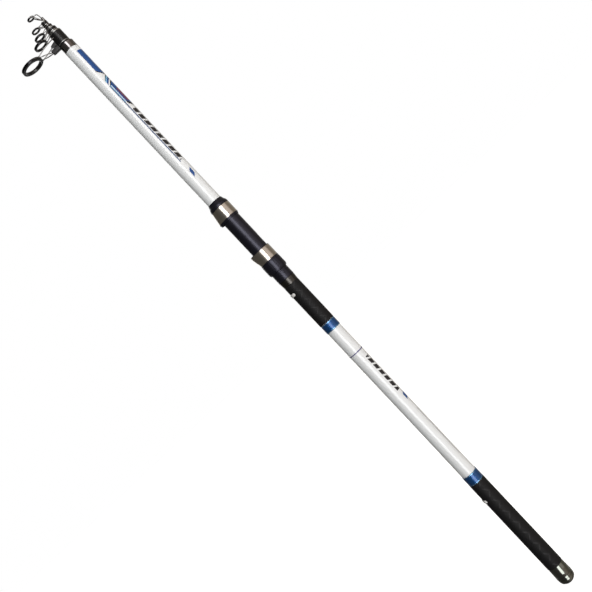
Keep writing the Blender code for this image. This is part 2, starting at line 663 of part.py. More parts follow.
def stripper_foot(turn):
    """The black block under the stripper guide, hollowed to fit its collar."""
    low, high = GAP, GAP + FOOT_LENGTH
    corner = 1.6 * MM
    inner = -STRIPPER.reach + 3 * MM
    outline = [(inner, low), (inner, high), (corner - FOOT_REACH, high), (-FOOT_REACH, high - corner)]
    outline += [(-FOOT_REACH, low + corner), (corner - FOOT_REACH, low)]
    bm = bmesh.new()
    face = bm.faces.new([bm.verts.new((x, -FOOT_WIDTH / 2, z)) for x, z in outline])
    pushed = bmesh.ops.extrude_face_region(bm, geom=[face])
    moved = [item for item in pushed["geom"] if isinstance(item, bmesh.types.BMVert)]
    bmesh.ops.translate(bm, verts=moved, vec=(0.0, FOOT_WIDTH, 0.0))
    foot = node("stripper_foot", bm, "black_plastic", turn)
    radius = STRIPPER.radius + GAP
    outline = [(0.0, -high), (radius, -high), (radius, 2 * high), (0.0, 2 * high)]
    cut(foot, node("foot_cutter", turned(outline), "black_plastic", turn, (-STRIPPER.shift, 0.0, 0.0)))
    return foot


def hollow_section(name, slide, top):
    """A tapered tube. Heights are from the mouth that it slides in."""
    wall = SECTION_WALLS[name]
    inside = SECTION_INSIDE[name]
    outline = [
        (TIP_RADII[name] - wall, top),
        (BASE_RADII[name] - wall, -inside),
        (BASE_RADII[name], -inside),
        (TIP_RADII[name], -GAP),
        (TIP_RADII[name], top),
    ]
    node(name + "_section", turned(outline, SLIM), "glass_fibre", slide)


def sections(root):
    """The telescoping sections with their guides, each hung by its collar on the mouth of the one below."""
    below, mouth = root, MOUTH
    for name, guide in (("second", STRIPPER), ("third", MIDDLE), ("fourth", UPPER)):
        slide = anchor(name + "_slide", mouth, below)
        top = guide.length + 2 * GAP
        hollow_section(name, slide, top)
        collar_guide(guide, anchor(guide.name + "_turn", mouth + GAP, slide), "black_thread", "winding")
        below, mouth = slide, mouth + top
    tip_section(below, mouth)


def tip_section(below, mouth):
    """The solid tip, the guide that slides on it and the tip-top glued on its end."""
    slide = anchor("tip_slide", mouth, below)
    inside = SECTION_INSIDE["tip"]
    outline = [(0.0, -inside), (BASE_RADII["tip"], -inside), (TIP_RADII["tip"], TIP_LENGTH), (0.0, TIP_LENGTH)]
    node("tip_section", turned(outline, SLIM), "glass_fibre", slide)
    collar_guide(SLIDER, anchor("slider_slide", mouth + GAP, slide), "black_plastic", "collar")
    tip_top(anchor("tip_top_turn", mouth + SLIDER_LENGTH + 2 * GAP, slide))


def tip_top(turn):
    """The end guide: a capped tube with a hoop on wires."""
    guide = TIP_TOP
    top = guide.length
    wire = WIRE_RADIUS * 0.8
    tube = [(0.0, top - 0.4 * MM), (guide.bore, top - 0.4 * MM), (guide.bore, 0.0)]
    tube += [(guide.radius, 0.0), (guide.radius, top), (0.0, top + 0.8 * MM)]
    frame = node("tip_top_frame", turned(tube, SLIM), "steel_wire", turn)
    place = (-guide.height, 0.0, guide.ring_at)
    cut(frame, node("tip_top_hoop", hoop(guide), "steel_wire", turn, place), "UNION")
    for side in (-1, 1):
        foot = Vector((-guide.radius, side * 0.4 * MM, 0.62 * top))
        brace = [foot, on_hoop(guide, radians(66), side, 0.0), *round_hoop(guide, radians(66), side, 0.0)]
        cut(frame, node(f"tip_top_brace_{side}", sweep(brace, wire), "steel_wire", turn), "UNION")
    spine = [Vector((-0.9 * MM, 0.0, top)), Vector((-1.6 * MM, 0.0, guide.ring_at - 1.5 * MM))]
    spine += [Vector((-3.2 * MM, 0.0, guide.ring_at)), on_hoop(guide, 0.0, 1, 0.0)]
    cut(frame, node("tip_top_spine", sweep(smooth_path(spine, 2), wire), "steel_wire", turn), "UNION")
    ring_pieces(guide, turn, False)


def main():
    clear_scene()
    root = anchor("rod", 0.0)
    butt_section(root)
    grips_and_windings(root)
    line_clip("upper_clip", UPPER_GRIP_TOP, UPPER_CLIP_FROM_TOP, root)
    line_clip("lower_clip", LOWER_WINDING_BOTTOM - GAP, LOWER_CLIP_FROM_TOP, root)
    butt_cap(root)
    reel_seat(root)
    moving_hood(root)
    sections(root)


main()
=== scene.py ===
"""Looks of the telescopic surf rod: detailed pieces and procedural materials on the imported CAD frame."""

from math import atan2, cos, pi, radians, sin

import bmesh
import bpy
from mathutils import Matrix, Vector


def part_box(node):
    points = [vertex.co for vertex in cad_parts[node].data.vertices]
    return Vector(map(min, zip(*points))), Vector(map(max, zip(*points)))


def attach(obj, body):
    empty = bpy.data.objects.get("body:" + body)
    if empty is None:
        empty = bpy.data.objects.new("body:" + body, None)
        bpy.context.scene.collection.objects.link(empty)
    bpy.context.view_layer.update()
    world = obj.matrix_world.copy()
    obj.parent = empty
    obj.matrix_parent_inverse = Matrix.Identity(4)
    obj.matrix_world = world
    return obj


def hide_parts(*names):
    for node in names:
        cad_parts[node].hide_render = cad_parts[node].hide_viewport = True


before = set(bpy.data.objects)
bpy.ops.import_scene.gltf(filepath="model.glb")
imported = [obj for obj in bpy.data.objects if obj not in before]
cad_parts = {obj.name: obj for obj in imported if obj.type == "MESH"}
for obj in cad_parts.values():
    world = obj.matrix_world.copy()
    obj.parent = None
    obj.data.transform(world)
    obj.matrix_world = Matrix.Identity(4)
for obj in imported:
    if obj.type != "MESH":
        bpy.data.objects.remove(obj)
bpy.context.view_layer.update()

MM = 0.001
SIDES = 96  # of a round piece
GAP = 0.3 * MM  # the CAD's clearance between pieces

# Walls of the layers on the blank.
GRIP_WALL = 0.6 * MM
WINDING_WALL = 0.45 * MM
SEAM_WALL = 0.25 * MM

# How far in from a hood's radius its shell and its black lining reach.
SHELL_INSIDE = 0.7 * MM
LINING_OUTSIDE = 0.75 * MM
LINING_INSIDE = 1.4 * MM

# Camera: the height and the side of the picture's centre, the camera's distance, and how far the rod leans.
CENTRE_HEIGHT = 566.0 * MM
CENTRE_SIDE = -7.3 * MM
CAMERA_DISTANCE = 1100.0 * MM
CAMERA_ROLL = radians(43.2)
FRAME_WIDTH = 850.7 * MM  # what the picture's width covers at the rod


# ---------------------------------------------------------------- materials


class Paint:
    """A node material round one Principled shader, with short calls for its nodes, in millimetres."""

    def __init__(self, name, colour, roughness, metallic=0.0, coat=0.0, **sockets):
        self.material = bpy.data.materials.new(name)
        self.material.use_nodes = True
        self.tree = self.material.node_tree
        self.shader = self.tree.nodes["Principled BSDF"]
        self.set("Metallic", metallic)
        self.set("Coat Weight", coat)
        self.set("Coat Roughness", 0.08)
        for socket, value in sockets.items():
            self.set(socket.replace("_", " "), value)
        place = self.tree.nodes.new("ShaderNodeTexCoord").outputs["Object"]
        scaled = self.tree.nodes.new("ShaderNodeVectorMath")
        scaled.operation = "SCALE"
        scaled.inputs["Scale"].default_value = 1 / MM
        self.tree.links.new(place, scaled.inputs[0])
        self.place = scaled.outputs[0]
        split = self.tree.nodes.new("ShaderNodeSeparateXYZ")
        self.tree.links.new(self.place, split.inputs[0])
        self.x, self.y, self.z = split.outputs
        self.colour_out = (*colour, 1.0)
        self.rough_out = roughness
        self.metal_out = metallic
        self.heights = []

    def set(self, socket, value):
        self.shader.inputs[socket].default_value = value

    def feed(self, socket, value):
        if isinstance(value, bpy.types.NodeSocket):
            self.tree.links.new(value, socket)
        else:
            socket.default_value = value

    def math(self, operation, *values):
        node = self.tree.nodes.new("ShaderNodeMath")
        node.operation = operation
        for socket, value in zip(node.inputs, values):
            self.feed(socket, value)
        return node.outputs[0]

    def between(self, value, low, high):
        """1 where the value lies between the two, else 0."""
        above = self.math("GREATER_THAN", value, low)
        return self.math("MULTIPLY", above, self.math("LESS_THAN", value, high))

    def ramp(self, value, low, high):
        """0 below low, 1 above high, smooth between."""
        node = self.tree.nodes.new("ShaderNodeMapRange")
        node.interpolation_type = "SMOOTHSTEP"
        for socket, item in zip(node.inputs, (value, low, high, 0.0, 1.0)):
            self.feed(socket, item)
        return node.outputs[0]

    def all_of(self, *masks):
        mask = masks[0]
        for other in masks[1:]:
            mask = self.math("MULTIPLY", mask, other)
        return mask

    def noise(self, per_mm, stretch=(1.0, 1.0, 1.0), detail=3.0):
        """Noise with so many cells per millimetre."""
        scaled = self.tree.nodes.new("ShaderNodeVectorMath")
        scaled.operation = "MULTIPLY"
        self.tree.links.new(self.place, scaled.inputs[0])
        scaled.inputs[1].default_value = [per_mm * share for share in stretch]
        node = self.tree.nodes.new("ShaderNodeTexNoise")
        node.inputs["Scale"].default_value = 1.0
        node.inputs["Detail"].default_value = detail
        self.tree.links.new(scaled.outputs[0], node.inputs["Vector"])
        return node.outputs["Fac"]

    def angle(self):
        """Angle round the rod in radians, 0 at the -Y side, positive towards +X."""
        return self.math("ARCTAN2", self.x, self.math("MULTIPLY", self.y, -1.0))

    def paint(self, mask, colour, roughness=None, metallic=None):
        """Lays a colour over what is there, where the mask is 1."""
        node = self.tree.nodes.new("ShaderNodeMix")
        node.data_type = "RGBA"
        self.feed(node.inputs[0], mask)
        self.feed(node.inputs[6], self.colour_out)
        self.feed(node.inputs[7], (*colour, 1.0))
        self.colour_out = node.outputs[2]
        if roughness is not None:
            self.rough_out = self.blend(mask, self.rough_out, roughness)
        if metallic is not None:
            self.metal_out = self.blend(mask, self.metal_out, metallic)

    def blend(self, mask, old, new):
        node = self.tree.nodes.new("ShaderNodeMix")
        self.feed(node.inputs[0], mask)
        self.feed(node.inputs[2], old)
        self.feed(node.inputs[3], new)
        return node.outputs[0]

    def vary(self, per_mm, colour, share, rough_by=0.0, stretch=(1.0, 1.0, 1.0)):
        """Uneven colour and gloss, as on a real surface."""
        noise = self.noise(per_mm, stretch)
        self.paint(self.math("MULTIPLY", noise, share), colour)
        if rough_by:
            spread = self.math("MULTIPLY", self.math("SUBTRACT", noise, 0.5), rough_by)
            self.rough_out = self.math("ADD", self.rough_out, spread)

    def raise_by(self, height, depth):
        """Adds relief: height is 0 to 1 and depth in millimetres."""
        self.heights.append(self.math("MULTIPLY", height, depth))

    def done(self):
        self.feed(self.shader.inputs["Base Color"], self.colour_out)
        self.feed(self.shader.inputs["Roughness"], self.rough_out)
        self.feed(self.shader.inputs["Metallic"], self.metal_out)
        if self.heights:
            total = self.heights[0]
            for height in self.heights[1:]:
                total = self.math("ADD", total, height)
            bump = self.tree.nodes.new("ShaderNodeBump")
            bump.inputs["Distance"].default_value = MM
            self.tree.links.new(total, bump.inputs["Height"])
            self.tree.links.new(bump.outputs[0], self.shader.inputs["Normal"])
        return self.material


def wave(paint, value, period):
    """0 to 1 and back, once in each period."""
    turned = paint.math("SINE", paint.math("MULTIPLY", value, 2 * pi / period))
    return paint.math("MULTIPLY_ADD", turned, 0.5, 0.5)


BLUE = (0.003, 0.066, 0.27)
SKY = (0.22, 0.50, 0.72)
SLATE = (0.05, 0.10, 0.22)
INK = (0.012, 0.012, 0.016)
MAROON = (0.16, 0.03, 0.08)
GREY = (0.45, 0.46, 0.48)
NEARER = 10 * MM / CAMERA_DISTANCE  # how much larger the trim looks than the axis 10 mm behind it


def decals(paint):
    """Painted trim on the side towards +X: blue fields, slanted bars and a pinstripe."""
    x = paint.x
    # The heights below are taken at the rod's axis, so the trim is set a little closer to the middle.
    z = paint.math("MULTIPLY_ADD", paint.z, 1 + NEARER, -NEARER * CENTRE_HEIGHT / MM)
    front = paint.math("GREATER_THAN", x, 3.9)
    falling = paint.math("MULTIPLY_ADD", x, 1.2, z)  # grows along an edge that leans one way
    rising = paint.math("MULTIPLY_ADD", x, -1.35, z)  # and the other way
    # The long blue field, with a dark edge where the white triangle begins.
    above, below = paint.math("GREATER_THAN", falling, 1003.2), paint.math("LESS_THAN", z, 1038.6)
    paint.paint(paint.all_of(front, above, below), BLUE)
    paint.paint(paint.all_of(front, paint.between(falling, 1001.4, 1003.6)), INK)
    # Beyond the triangle: slanted stripes in light blue, blue and black.
    paint.paint(paint.all_of(front, paint.between(rising, 972.2, 973.6)), INK)
    paint.paint(paint.all_of(front, paint.between(rising, 969.4, 972.2)), SKY)
    paint.paint(paint.all_of(front, paint.between(rising, 965.6, 969.4)), BLUE)
    paint.paint(paint.all_of(front, paint.between(rising, 960.2, 962.8)), INK)
    # The narrow field after them, dark blue turning to maroon, with black slanted ends.
    narrow = paint.math("GREATER_THAN", x, 6.6)
    above, below = paint.math("GREATER_THAN", falling, 945.4), paint.math("LESS_THAN", rising, 961.0)
    field = paint.all_of(narrow, below, above)
    paint.paint(field, BLUE)
    paint.paint(paint.all_of(field, paint.between(z, 938, 962), paint.math("GREATER_THAN", x, 8.4)), MAROON)
    paint.paint(paint.all_of(narrow, paint.between(falling, 941.2, 946.4)), INK)
    paint.paint(paint.all_of(paint.between(x, 4.6, 6.0), paint.between(z, 937, 969)), SKY)
    paint.paint(paint.all_of(paint.between(x, 3.3, 4.9), paint.between(z, 820, 969)), SLATE)
    # Plain slanted blocks, small blue marks and a fine grey line.
    for low, high, period in ((822, 923, 12.6), (367, 434, 11.2)):
        shifted = paint.math("MULTIPLY_ADD", x, 0.7, z)
        block = paint.math("LESS_THAN", paint.math("FRACT", paint.math("DIVIDE", shifted, period)), 0.74)
        paint.paint(paint.all_of(block, paint.between(z, low, high), paint.between(x, 5.6, 10.4)), INK)
    for low, high, inner, outer in ((785, 796, 3.8, 8.0), (336.5, 346.5, 8.2, 11.0)):
        paint.paint(paint.all_of(paint.between(rising, low, high), paint.between(x, inner, outer)), BLUE)
    paint.paint(paint.all_of(paint.between(z, 240, 330), paint.between(x, 9.2, 10.1)), GREY)


def white_lacquer():
    paint = Paint("white_lacquer", (0.80, 0.835, 0.845), 0.32, coat=0.6)
    paint.vary(0.05, (0.74, 0.76, 0.78), 0.5, 0.06, (1.0, 1.0, 0.2))
    paint.vary(4.0, (0.86, 0.88, 0.90), 0.12)
    decals(paint)
    paint.raise_by(paint.noise(0.08, (1.0, 1.0, 0.3), 1.0), 0.02)
    return paint.done()


def metal(name, colour, roughness, turned=0.006):
    """Turned metal: fine rings round the rod, uneven gloss and paler rubbed streaks."""
    paint = Paint(name, colour, roughness, metallic=1.0)
    paint.vary(0.25, [min(1.0, 1.35 * c) for c in colour], 0.5, 0.10, (1.0, 1.0, 2.5))
    paint.raise_by(paint.noise(6.0, (0.04, 0.04, 1.0), 2.0), turned)
    return paint.done()


def moulded(name, colour, roughness, grain=0.02, **sockets):
    """Moulded plastic or rubber with a fine grain and slight wear."""
    paint = Paint(name, colour, roughness, **sockets)
    paint.vary(0.15, [min(1.0, c * 1.6 + 0.002) for c in colour], 0.6, 0.12)
    paint.raise_by(paint.noise(2.6), grain)
    return paint.done()


def embossed(name, period, reach, shape):
    """Black shrink tube with a fine pebble grain and a raised row of figures on the -Y side."""
    paint = Paint(name, (0.006, 0.006, 0.0065), 0.62, Specular_IOR_Level=0.2)
    paint.vary(0.10, (0.013, 0.013, 0.014), 0.6, 0.16)
    around = paint.math("MULTIPLY", paint.angle(), 12.6)
    along = paint.math("PINGPONG", paint.z, period / 2)
    arch = paint.math("MULTIPLY", along, shape)
    line = paint.math("ABSOLUTE", paint.math("SUBTRACT", around, paint.math("SUBTRACT", arch, reach / 2)))
    figure = paint.math("SUBTRACT", 1.0, paint.ramp(line, 0.8, 2.2))
    other = paint.math("ABSOLUTE", paint.math("ADD", around, paint.math("SUBTRACT", arch, reach / 2 + 22)))
    back = paint.math("SUBTRACT", 1.0, paint.ramp(other, 0.8, 2.2))
    broken = paint.between(paint.math("FRACT", paint.math("DIVIDE", paint.z, period)), 0.12, 0.88)
    raised = paint.math("MULTIPLY", paint.math("MAXIMUM", figure, back), broken)
    paint.paint(raised, (0.014, 0.014, 0.015), 0.50)
    paint.raise_by(raised, 0.16)
    paint.raise_by(paint.noise(1.6), 0.05)
    return paint.done()


def thread(name, colour, sheen_and_tone, bands=(), metallic=0.0, coat=0.2):
    """Thread wound side by side under clear epoxy, each turn's crest painted lighter as a painted sheen.
    Bands are (low, high, colour) rings of another thread.
    """
    paint = Paint(name, colour, 0.34, metallic=metallic, coat=coat, Specular_IOR_Level=0.25)
    turns = wave(paint, paint.z, 0.42)
    # Painted sheen: the lighter colour along each turn's crest stands in for light on the round thread; the
    # same colour also varies the tone at random below.
    paint.paint(paint.math("MULTIPLY", turns, 0.45), sheen_and_tone)
    paint.vary(0.3, sheen_and_tone, 0.25, 0.08)
    for low, high, other in bands:
        paint.paint(paint.between(paint.z, low, high), other, 0.22, 0.9)
    paint.raise_by(turns, 0.03)
    paint.raise_by(paint.noise(0.25, (1.0, 1.0, 0.4)), 0.10)
    return paint.done()


def graphite():
    """Wrapped carbon and glass tube under clear lacquer, its tape lines showing faintly."""
    paint = Paint("graphite", (0.018, 0.019, 0.022), 0.28, coat=0.6)
    lean = paint.math("MULTIPLY_ADD", paint.angle(), 0.35, paint.z)
    paint.paint(paint.math("MULTIPLY", wave(paint, lean, 2.4), 0.5), (0.050, 0.053, 0.060))
    paint.vary(0.2, (0.04, 0.042, 0.05), 0.4, 0.08)
    paint.raise_by(wave(paint, lean, 2.4), 0.015)
    return paint.done()


def ceramic():
    paint = Paint("black_ceramic", (0.005, 0.005, 0.0055), 0.22)
    paint.vary(0.6, (0.012, 0.012, 0.013), 0.5, 0.05)
    paint.raise_by(paint.noise(3.0), 0.003)
    return paint.done()


def paper_tape():
    paint = Paint("tape", (0.60, 0.52, 0.36), 0.85)
    paint.vary(0.4, (0.42, 0.35, 0.22), 0.7, 0.1, (1.0, 1.0, 3.0))
    paint.raise_by(wave(paint, paint.z, 6.0), 0.12)
    return paint.done()


# ---------------------------------------------------------------- shapes


def piece(name, bm, body, material, stands_for=(), smooth=38):
    bmesh.ops.recalc_face_normals(bm, faces=bm.faces)
    mesh = bpy.data.meshes.new(name)
    bm.to_mesh(mesh)
    bm.free()
    mesh.shade_smooth()
    mesh.set_sharp_from_angle(angle=radians(smooth))
    mesh.materials.append(material)
    obj = bpy.data.objects.new(name, mesh)
    bpy.context.scene.collection.objects.link(obj)
    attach(obj, body)
    if stands_for:
        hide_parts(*stands_for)
    return obj


def turned(outline, sides=SIDES, centre=(0.0, 0.0), closed=True):
    """A bmesh turned about a line along Z through the centre, from (radius, height) points."""
    bm = bmesh.new()
    rings = []
    for radius, height in outline:
        if radius == 0.0:
            rings.append([bm.verts.new((centre[0], centre[1], height))] * sides)
            continue
        angles = [2 * pi * side / sides for side in range(sides)]
        places = [(centre[0] + radius * cos(a), centre[1] + radius * sin(a), height) for a in angles]
        rings.append([bm.verts.new(place) for place in places])
    pairs = list(zip(rings, rings[1:]))
    if closed and outline[0][0] and outline[-1][0]:
        pairs.append((rings[-1], rings[0]))
    for low, high in pairs:
        for side in range(sides):
            after = (side + 1) % sides
            corners = dict.fromkeys((low[side], low[after], high[after], high[side]))
            if len(corners) > 2:
                bm.faces.new(corners)
    return bm


def rounded(points, radius, steps=4):
    """The outline with each corner rounded."""
    result = []
    count = len(points)
    for index, point in enumerate(points):
        here = Vector(point)
        before, after = Vector(points[index - 1]), Vector(points[(index + 1) % count])
        reach = min(radius, (before - here).length / 2.2, (after - here).length / 2.2)
        start = here + (before - here).normalized() * reach
        end = here + (after - here).normalized() * reach
        for step in range(steps + 1):
            t = step / steps
            result.append(tuple(start.lerp(here, t).lerp(here.lerp(end, t), t)))
    return result


def band(low, high, bore, radius, edge, top_radius=None):
    """The rounded outline of a sleeve, tapered if top_radius is given."""
    top = radius if top_radius is None else top_radius
    bore_top = bore + top - radius
    return rounded([(bore, low), (radius, low), (top, high), (bore_top, high)], edge)


def heights_of(node):
    low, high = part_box(node)
    return low.z, high.z


def radius_of(node):
    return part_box(node)[1].x


BLANK_LOW, BLANK_HIGH = heights_of("butt_section")
BLANK_BUTT = radius_of("butt_section")
BLANK_MOUTH = radius_of("mouth_ferrule")


def blank_radius(height):
    return BLANK_BUTT + (BLANK_MOUTH - BLANK_BUTT) * (height - BLANK_LOW) / (BLANK_HIGH - BLANK_LOW)


def sleeve_on_blank(node, material, wall, edge):
    low, high = heights_of(node)
    outline = band(low, high, blank_radius(low) + 0.02 * MM, blank_radius(low) + GAP + wall, edge,
                   blank_radius(high) + GAP + wall)
    piece(node + "_look", turned(outline), "butt", material, [node])


def blank(finish, chrome):
    """The white blank, and the ferrule with its rolled lip at the mouth."""
    shoulder = heights_of("mouth_ferrule")[0]
    inside, neck = BLANK_MOUTH - 0.7 * MM, BLANK_MOUTH - 0.15 * MM
    outline = [(BLANK_BUTT - 1.2 * MM, BLANK_LOW)]
    outline += [(blank_radius(height), height) for height in rows(BLANK_LOW, shoulder - GAP, 60)]
    outline += [(BLANK_MOUTH - 0.6 * MM, shoulder)]
    outline += [(BLANK_MOUTH - 0.6 * MM, BLANK_HIGH - GAP), (BLANK_MOUTH - 1.2 * MM, BLANK_HIGH - GAP)]
    piece("blank", turned(outline), "butt", finish, ["butt_section"])
    ferrule = [(inside, shoulder), (BLANK_MOUTH, shoulder), (BLANK_MOUTH, shoulder + 1.2 * MM)]
    ferrule += [(neck, shoulder + 1.5 * MM), (neck, BLANK_HIGH - 1.6 * MM)]
    ferrule += [(BLANK_MOUTH, BLANK_HIGH - 1.2 * MM), (BLANK_MOUTH, BLANK_HIGH), (inside, BLANK_HIGH)]
    piece("ferrule", turned(rounded(ferrule, 0.25 * MM)), "butt", chrome, ["mouth_ferrule"])


def butt_cap(gunmetal, rubber):
    """The screw cap: neck, belly, groove and rim, round the rubber dome."""
    top = BLANK_LOW - GAP
    pad_radius = radius_of("butt_pad")
    pad_top = 3.2 * MM
    belly = radius_of("butt_cap")
    rim = 9.0 * MM  # height of the dome's rim
    outline = [(pad_radius - 2 * MM, pad_top + 2 * MM), (pad_radius + 0.2 * MM, pad_top + GAP)]
    for step in range(9):
        angle = radians(-38 + 34 * step / 8)
        outline.append(((belly - 0.35 * MM) * cos(angle), max(pad_top + GAP, rim + belly * sin(angle))))
    outline += [(belly - 0.35 * MM, rim + 0.8 * MM), (belly - 0.9 * MM, rim + 1.0 * MM)]
    outline += [(belly - 0.9 * MM, rim + 1.5 * MM), (belly, rim + 1.8 * MM), (belly, rim + 4.4 * MM)]
    outline += [(belly - 0.45 * MM, rim + 4.7 * MM), (belly - 0.15 * MM, rim + 5.2 * MM)]
    outline += [(belly - 0.7 * MM, top - 0.5 * MM), (belly - 1.0 * MM, top), (belly - 3 * MM, top)]
    piece("cap_look", turned(outline), "cap", gunmetal, ["butt_cap"])
    pad = [(0.0, 0.0), (pad_radius - 3.2 * MM, 0.0)]
    for step in range(7):
        angle = radians(-90 + 90 * step / 6)
        pad.append((pad_radius - 3.2 * MM + 3.2 * MM * cos(angle), 2.6 * MM + 2.6 * MM * sin(angle)))
    pad += [(radius, pad_top + 0.2 * MM) for radius in (pad_radius, pad_radius - 2.0 * MM, 0.0)]
    piece("pad_look", turned(pad), "cap", rubber, ["butt_pad"])


def flare(bm, reach, full=radians(24), end=radians(66)):
    """Pushes the -X side out by reach(height), most in the middle and none at the sides."""
    for vert in bm.verts:
        angle = abs(atan2(vert.co.y, -vert.co.x))
        share = min(1.0, max(0.0, (end - angle) / (end - full)))
        vert.co.x -= reach(vert.co.z) * share * share * (3 - 2 * share)
    return bm


def rows(low, high, steps):
    return [low + (high - low) * step / steps for step in range(steps + 1)]


def hoods(gunmetal, plastic):
    """Both flared metal hoods, each with its black lining and lip."""
    low, top = heights_of("fixed_hood")
    mouth = heights_of("fixed_hood_liner")[0]
    radius = radius_of("fixed_hood")
    wide = -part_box("fixed_hood")[0].x - radius

    def slope(height):
        return wide * min(1.0, max(0.0, (top - height) / (top - low)))

    shell = [(radius - SHELL_INSIDE, height) for height in reversed(rows(low, top, 12))]
    shell += [(radius - 0.15 * MM, low), *[(radius, h) for h in rows(low + 0.2 * MM, top - 0.3 * MM, 12)]]
    shell += [(radius - 0.3 * MM, top)]
    piece("fixed_hood_look", flare(turned(shell), slope), "butt", gunmetal, ["fixed_hood"])
    rim = [(radius - LINING_INSIDE, height) for height in reversed(rows(mouth, top - GAP, 12))]
    rim += [(radius - 1.0 * MM, mouth), (radius - 0.25 * MM, mouth + 2.1 * MM)]
    rim += [(radius + 0.1 * MM, mouth + 2.6 * MM)]
    rim += [(radius + 0.1 * MM, low - 0.3 * MM), (radius - 0.2 * MM, low), (radius - LINING_OUTSIDE, low)]
    rim += [(radius - LINING_OUTSIDE, height) for height in rows(low + 0.3 * MM, top - GAP, 12)]
    piece("fixed_rim_look", flare(turned(rim), slope), "butt", plastic, ["fixed_hood_liner"])

    low, lip = heights_of("moving_hood")
    mouth = heights_of("moving_hood_liner")[1]
    radius = radius_of("moving_hood")
    wide = -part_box("moving_hood")[0].x - radius

    def swell(height):
        share = min(1.0, max(0.0, (height - low) / (lip - low)))
        return wide * sin(share * pi / 2) ** 1.5

    shell = [(radius - SHELL_INSIDE, height) for height in reversed(rows(low, lip, 16))]
    shell += [(radius - 0.15 * MM, low), *[(radius, h) for h in rows(low + 0.2 * MM, lip - 0.2 * MM, 16)]]
    shell += [(radius - 0.15 * MM, lip)]
    piece("moving_hood_look", flare(turned(shell), swell), "hood", gunmetal, ["moving_hood"])
    rim = [(radius - LINING_INSIDE, height) for height in reversed(rows(low, mouth, 16))]
    rim += [(radius - LINING_OUTSIDE, height) for height in rows(low, lip, 16)]
    rim += [(radius - LINING_OUTSIDE, lip + 0.1 * MM), (radius - 0.25 * MM, lip + 0.1 * MM)]
    rim += [(radius - 0.35 * MM, mouth - 0.1 * MM), (radius - 0.6 * MM, mouth)]
    piece("moving_rim_look", flare(turned(rim), swell), "hood", plastic, ["moving_hood_liner"])


def seat(plastic, metal_ring):
    """The seat's tube with its flat bed and its thread, the cone in front and the ring behind."""
    low, high = heights_of("seat_body")
    radius = radius_of("seat_body")
    bed = radius - 0.5 * MM
    bed_low, bed_high = heights_of("moving_hood")[0], high - 7.7 * MM
    thread_high = heights_of("lock_nut")[0] + 26 * MM
    outline = [(radius, height) for height in rows(low, high, 200)]
    bm = turned([(radius - 1.0 * MM, low), *outline, (radius - 1.0 * MM, high)])
    for vert in bm.verts:
        height = vert.co.z
        if low + 0.8 * MM < height < thread_high and vert.co.xy.length > radius - 0.1 * MM:
            turn = atan2(vert.co.y, vert.co.x) / (2 * pi)
            phase = abs(((height - low) / (2 * MM) - turn) % 1.0 - 0.5) * 2
            vert.co.xy *= 1 - 0.40 * MM * min(1.0, 1.6 * phase) / radius
        if bed_low < height < bed_high:
            vert.co.x = max(vert.co.x, -bed)
        if abs(vert.co.y) < 1.8 * MM and vert.co.x > 0 and height < bed_low + 40 * MM:
            vert.co.x = min(vert.co.x, radius - 0.5 * MM)
    piece("seat_look", bm, "butt", plastic, ["seat_body"], smooth=50)
    low, high = heights_of("seat_nose")
    radius = radius_of("seat_nose")
    bore = blank_radius(low) + 0.05 * MM
    outline = [(bore, high), (bore, low), (radius - 0.4 * MM, low), (radius, low + 0.5 * MM)]
    for step in range(9):
        angle = radians(40 * step / 8)
        outline.append((radius - 9 * MM + 9 * MM * cos(angle), low + 1.0 * MM + 9 * MM * sin(angle)))
    outline += [(bore + 0.7 * MM, high - 0.4 * MM), (bore + 0.4 * MM, high)]
    piece("nose_look", turned(outline), "butt", plastic, ["seat_nose"])
    low, high = heights_of("seat_end_ring")
    radius = radius_of("seat_end_ring")
    bore = blank_radius(low) + 0.05 * MM
    low, high = low - 0.28 * MM, high + 0.28 * MM  # closes the gaps, which would show the blank
    outline = [(bore, low), (bore + 0.8 * MM, low), (radius, high - 0.9 * MM)]
    outline = rounded([*outline, (radius - 0.3 * MM, high), (bore, high)], 0.3 * MM)
    piece("end_ring_look", turned(outline), "butt", metal_ring, ["seat_end_ring"])


def lock_nut(plastic):
    """The nut, with a chamfered butt end, a collar at the hood and shallow grip flutes."""
    low, high = heights_of("lock_nut")
    radius = radius_of("lock_nut")
    bore = radius_of("seat_body") + 0.2 * MM
    outline = [(bore, low), (radius - 1.2 * MM, low), (radius - 0.1 * MM, low + 2.2 * MM)]
    outline += [(radius, h) for h in rows(low + 2.8 * MM, high - 2.6 * MM, 10)]
    outline += [(radius - 0.35 * MM, high - 2.2 * MM), (radius - 0.35 * MM, high - 1.6 * MM)]
    outline += [(radius, high - 1.2 * MM), (radius, high - 0.3 * MM), (radius - 0.3 * MM, high), (bore, high)]
    bm = turned(outline, 144)
    for vert in bm.verts:
        inside = low + 3.4 * MM < vert.co.z < high - 3.2 * MM
        if inside and vert.co.xy.length > radius - 0.1 * MM:
            turn = atan2(vert.co.y, vert.co.x) * 24 / (2 * pi) % 1.0
            if turn < 0.17:
                vert.co.xy *= 1 - 0.12 * MM / radius
    piece("nut_look", bm, "nut", plastic, ["lock_nut"], smooth=30)


